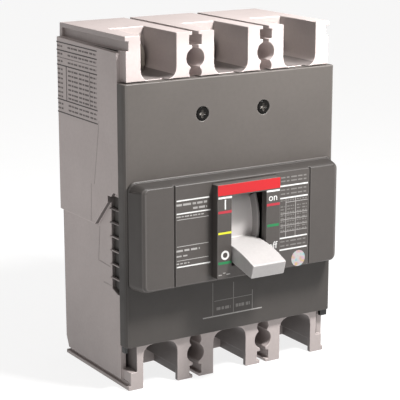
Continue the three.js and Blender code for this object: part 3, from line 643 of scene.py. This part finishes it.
def label_print():
    """The two label fields beside the panel: rules and columns as on the type plate, all words left out."""
    thick = [(25.75, z, 14.4, 0.6) for z in (7.35, 2.0, -15.7, -20.9)]
    front_print("label_right_rules", FRAME_FACE, thick, INK["white"])
    thin = [(27.2, 0.0, 11.5, 0.25)] + [(25.9, z, 14.1, 0.25) for z in (-4.95, -7.6, -10.25, -12.9)]
    thin += [(x, -6.8, 0.25, 17.0) for x in (21.56, 26.59)]
    front_print("label_right_grid", FRAME_FACE, thin, INK["soft"])
    small = []
    for z in (11.0, 9.4, 5.6, 3.8, -17.3, -19.2):
        small += dashes_between(18.8, 32.4, z, 0.6, (2.3, 0.7, 1.4, 0.9, 3.0, 0.6))
    for i in range(10):
        z = 0.9 - 1.33 * i - (1.33 if i > 0 else 0)
        for start, end in ((18.8, 20.9), (22.2, 25.8), (27.3, 29.4), (30.2, 32.6)):
            small += dashes_between(start, end, z, 0.5, (1.0 + 0.3 * (i % 3), 0.45, 0.8, 0.5))
    front_print("label_right_small", FRAME_FACE, small, INK["faint"])
    thick = [(-25.2, 7.4, 15.8, 0.55), (-24.9, 1.9, 16.4, 0.55), (-24.9, -20.8, 16.4, 0.55)]
    front_print("label_left_rules", FRAME_FACE, thick, INK["white"])
    thin = [(-25.3, z, 15.4, 0.28) for z in (-0.65, -12.05, -18.1)]
    front_print("label_left_thin", FRAME_FACE, thin, INK["soft"])
    small = dashes_between(-33.2, -18.4, 5.6, 0.9, (2.6, 0.6, 3.8, 0.8, 1.6, 0.6))
    small += dashes_between(-25.2, -18.4, 3.6, 0.9, (2.2, 0.6, 3.0, 0.6))
    small += dashes_between(-33.2, -20.0, 0.6, 0.5, (2.0, 0.5, 1.0, 0.5))
    small += dashes_between(-33.2, -22.0, -13.9, 0.8, (3.0, 0.8, 2.4, 0.8))
    small += dashes_between(-33.2, -28.0, -16.2, 0.6, (2.4, 0.8))
    small += dashes_between(-33.2, -27.0, -19.4, 0.5, (1.2, 0.6))
    front_print("label_left_small", FRAME_FACE, small, INK["soft"])


def cover_print():
    front_print("cover_rule", COVER_FACE, [(0.1, -48.4, 30.4, 0.5)], INK["soft"])
    lines = [(0.55, -41.6, 19.7, 0.28), (-10.1, -40.8, 0.28, 15.0)]
    lines += [(0.48, -41.3, 0.3, 13.9), (10.3, -43.8, 0.4, 8.8)]
    front_print("cover_lines", COVER_FACE, lines, INK["faint"])
    small = dashes_between(-8.2, -1.0, -45.2, 1.3, (2.0, 0.6, 1.2, 0.6))
    small += dashes_between(1.7, 9.0, -45.2, 1.4, (1.2, 0.35, 1.0, 0.35, 1.4, 0.9))
    front_print("cover_small", COVER_FACE, small, INK["faint"])


def side_print():
    """The type plate's place on the left side: plain rules and broken rows."""
    def rows(name, marks, material):
        boxes = []
        for y, z, length, height in marks:
            low = (SIDE_FACE - PRINT_HEIGHT, y - length / 2, z - height / 2)
            high = (SIDE_FACE + PRINT_DEPTH, y + length / 2, z + height / 2)
            boxes.append((low, high))
        printed(name, boxes_mesh(name, boxes), material)

    thick = [(-18.6, z, 37.0, 0.5) for z in (66.8, 63.4, 57.0, 42.0, 36.4)]
    thick.append((-9.0, 49.6, 0.5, 14.8))
    rows("side_rules", thick, INK["dark"])
    rows("side_thin", [(-18.6, 60.3, 37.0, 0.25), (-30.5, 49.5, 0.3, 14.4)], INK["grey"])
    small = []
    for z in (65.2, 61.9, 58.7, 55.2, 53.2, 51.2, 49.2, 47.2, 45.2, 43.4, 40.2, 38.2):
        row = dashes_between(0.6, 36.4, z, 0.75, (2.6, 0.7, 1.6, 0.6, 3.4, 1.1))
        small += [(-y, z, length, height) for y, z, length, height in row if abs(y - 9) > 1.6]
    rows("side_small", small, INK["grey"])


def side_strips(name, face, lines, width, material):
    """Thin straight marks on both sides: each line runs between two y, z points of the side's face."""
    data = bpy.data.meshes.new(name)
    points, faces = [], []
    for side in (1, -1):
        for start, end in lines:
            along = Vector((end[0] - start[0], end[1] - start[1])).normalized()
            across = Vector((-along.y, along.x)) * width / 2
            first = len(points)
            for x in (face - PRINT_HEIGHT, face + PRINT_DEPTH):
                for y, z in (start, end):
                    points.append((side * x * MM, (y - across.x) * MM, (z - across.y) * MM))
                    points.append((side * x * MM, (y + across.x) * MM, (z + across.y) * MM))
            faces += [[first + i for i in corners] for corners in BOX_FACES]
    data.from_pydata(points, [], faces)
    mesh = bmesh.new()
    mesh.from_mesh(data)
    bmesh.ops.recalc_face_normals(mesh, faces=mesh.faces)
    mesh.to_mesh(data)
    mesh.free()
    printed(name, data, material)


def side_seams_and_shade():
    """The fine seams of the moulding, below and on the raised side pads, as darker strips: partly the
    seams' own tone, partly painted shade where shadow lines fall under the pads' edges.
    """
    soft = paint("seam_and_shade_tone", (0.33, 0.29, 0.28), 0.6, mottle=0.08)
    low = [((-1.0, -7.6), (-33.2, -7.6)), ((-34.2, -8.2), (-32.7, -23.5))]
    low += [((-32.7, -23.5), (-43.1, -24.0)), ((-36.8, -32.2), (-43.9, -32.1))]
    side_strips("seam_and_shade_low", LOW_SIDE_FACE, low, 0.45, soft)
    pad = [((-38.2, 38.0), (-33.2, 10.2)), ((-30.4, 9.8), (-29.7, -6.6))]
    side_strips("seam_and_shade_pad", SIDE_FACE, pad, 0.3, soft)


def sticker():
    """The round seal: a thin disc with a slow change of tint."""
    seal = paint("seal_foil", (0.32, 0.33, 0.32), 0.3, fine=1500, mottle=0.05, relief=0.05)
    tree = seal.node_tree
    where = grown(tree, "TexCoord")
    cloud = noise(tree, where, 420, 2.0)
    tint = grown(tree, "ValToRGB")
    points = tint.color_ramp.elements
    points[0].position, points[0].color = 0.32, (0.20, 0.33, 0.37, 1)
    points[1].position, points[1].color = 0.68, (0.38, 0.30, 0.14, 1)
    for place, colour in ((0.44, (0.36, 0.36, 0.33, 1)), (0.55, (0.38, 0.25, 0.32, 1))):
        points.new(place).color = colour
    tree.links.new(cloud.outputs["Fac"], tint.inputs["Fac"])
    tree.links.new(tint.outputs["Color"], tree.nodes["Principled BSDF"].inputs["Base Color"])
    ring("seal_disc", (28.4, -25.8), 3.6, 0.02, FRAME_FACE, seal)


def beside_panel(place):
    """The rim of the escutcheon's opening, where the panel comes through."""
    return abs(place.x) < GAP_X + GAP_RIM and GAP_LOW - GAP_RIM < place.z < GAP_HIGH + GAP_RIM


def panel_seam():
    """A shallow seam between the panel and the escutcheon: their gap is filled to near its face."""
    low, high = -64.0, FRAME_FACE + 0.12
    ends = (GAP_LOW - 0.15, GAP_HIGH + 0.15)
    reach = GAP_X - 0.15
    boxes = [((x - GAP_HALF, high, ends[0]), (x + GAP_HALF, low, ends[1])) for x in (-GAP_X, GAP_X)]
    boxes += [((-reach, high, z - GAP_HALF), (reach, low, z + GAP_HALF)) for z in (GAP_LOW, GAP_HIGH)]
    printed("panel_seam", boxes_mesh("panel_seam", boxes), LOOKS["escutcheon_plastic"])


camera()
floor()
studio()
dress_nodes()

finished("base_housing", "base_moulding", "housing", 0.3)
finished("front_cover", "cover_moulding", "housing", 0.35)
finished("escutcheon", "escutcheon_moulding", "housing", 0.3, thin=beside_panel)
finished("handle_panel", "panel_moulding", "housing", 0.3)
finished("toggle_handle", "handle_moulding", "toggle", 0.45, 3)
for side in ("left", "right"):
    finished("cover_screw_" + side, "screw_" + side, "housing", 0.12)
    finished("cover_clip_" + side, "clip_" + side, "housing", 0.2)
for pole in ("left", "centre", "right"):
    finished("line_terminal_" + pole, "line_bar_" + pole, "housing", 0.25)
    finished("load_terminal_" + pole, "load_bar_" + pole, "housing", 0.25)

panel_seam()
panel_print()
ring("panel_mark_o", (-12.0, -17.6), 2.0, 1.15, PANEL_FACE, INK["white"])
lettering("panel_word_on", "on", (12.0, 4.2), 4.4, PANEL_FACE, INK["white"])
lettering("panel_word_off", "off", (12.0, -16.9), 4.4, PANEL_FACE, INK["white"])
label_print()
cover_print()
side_print()
side_seams_and_shade()
sticker()
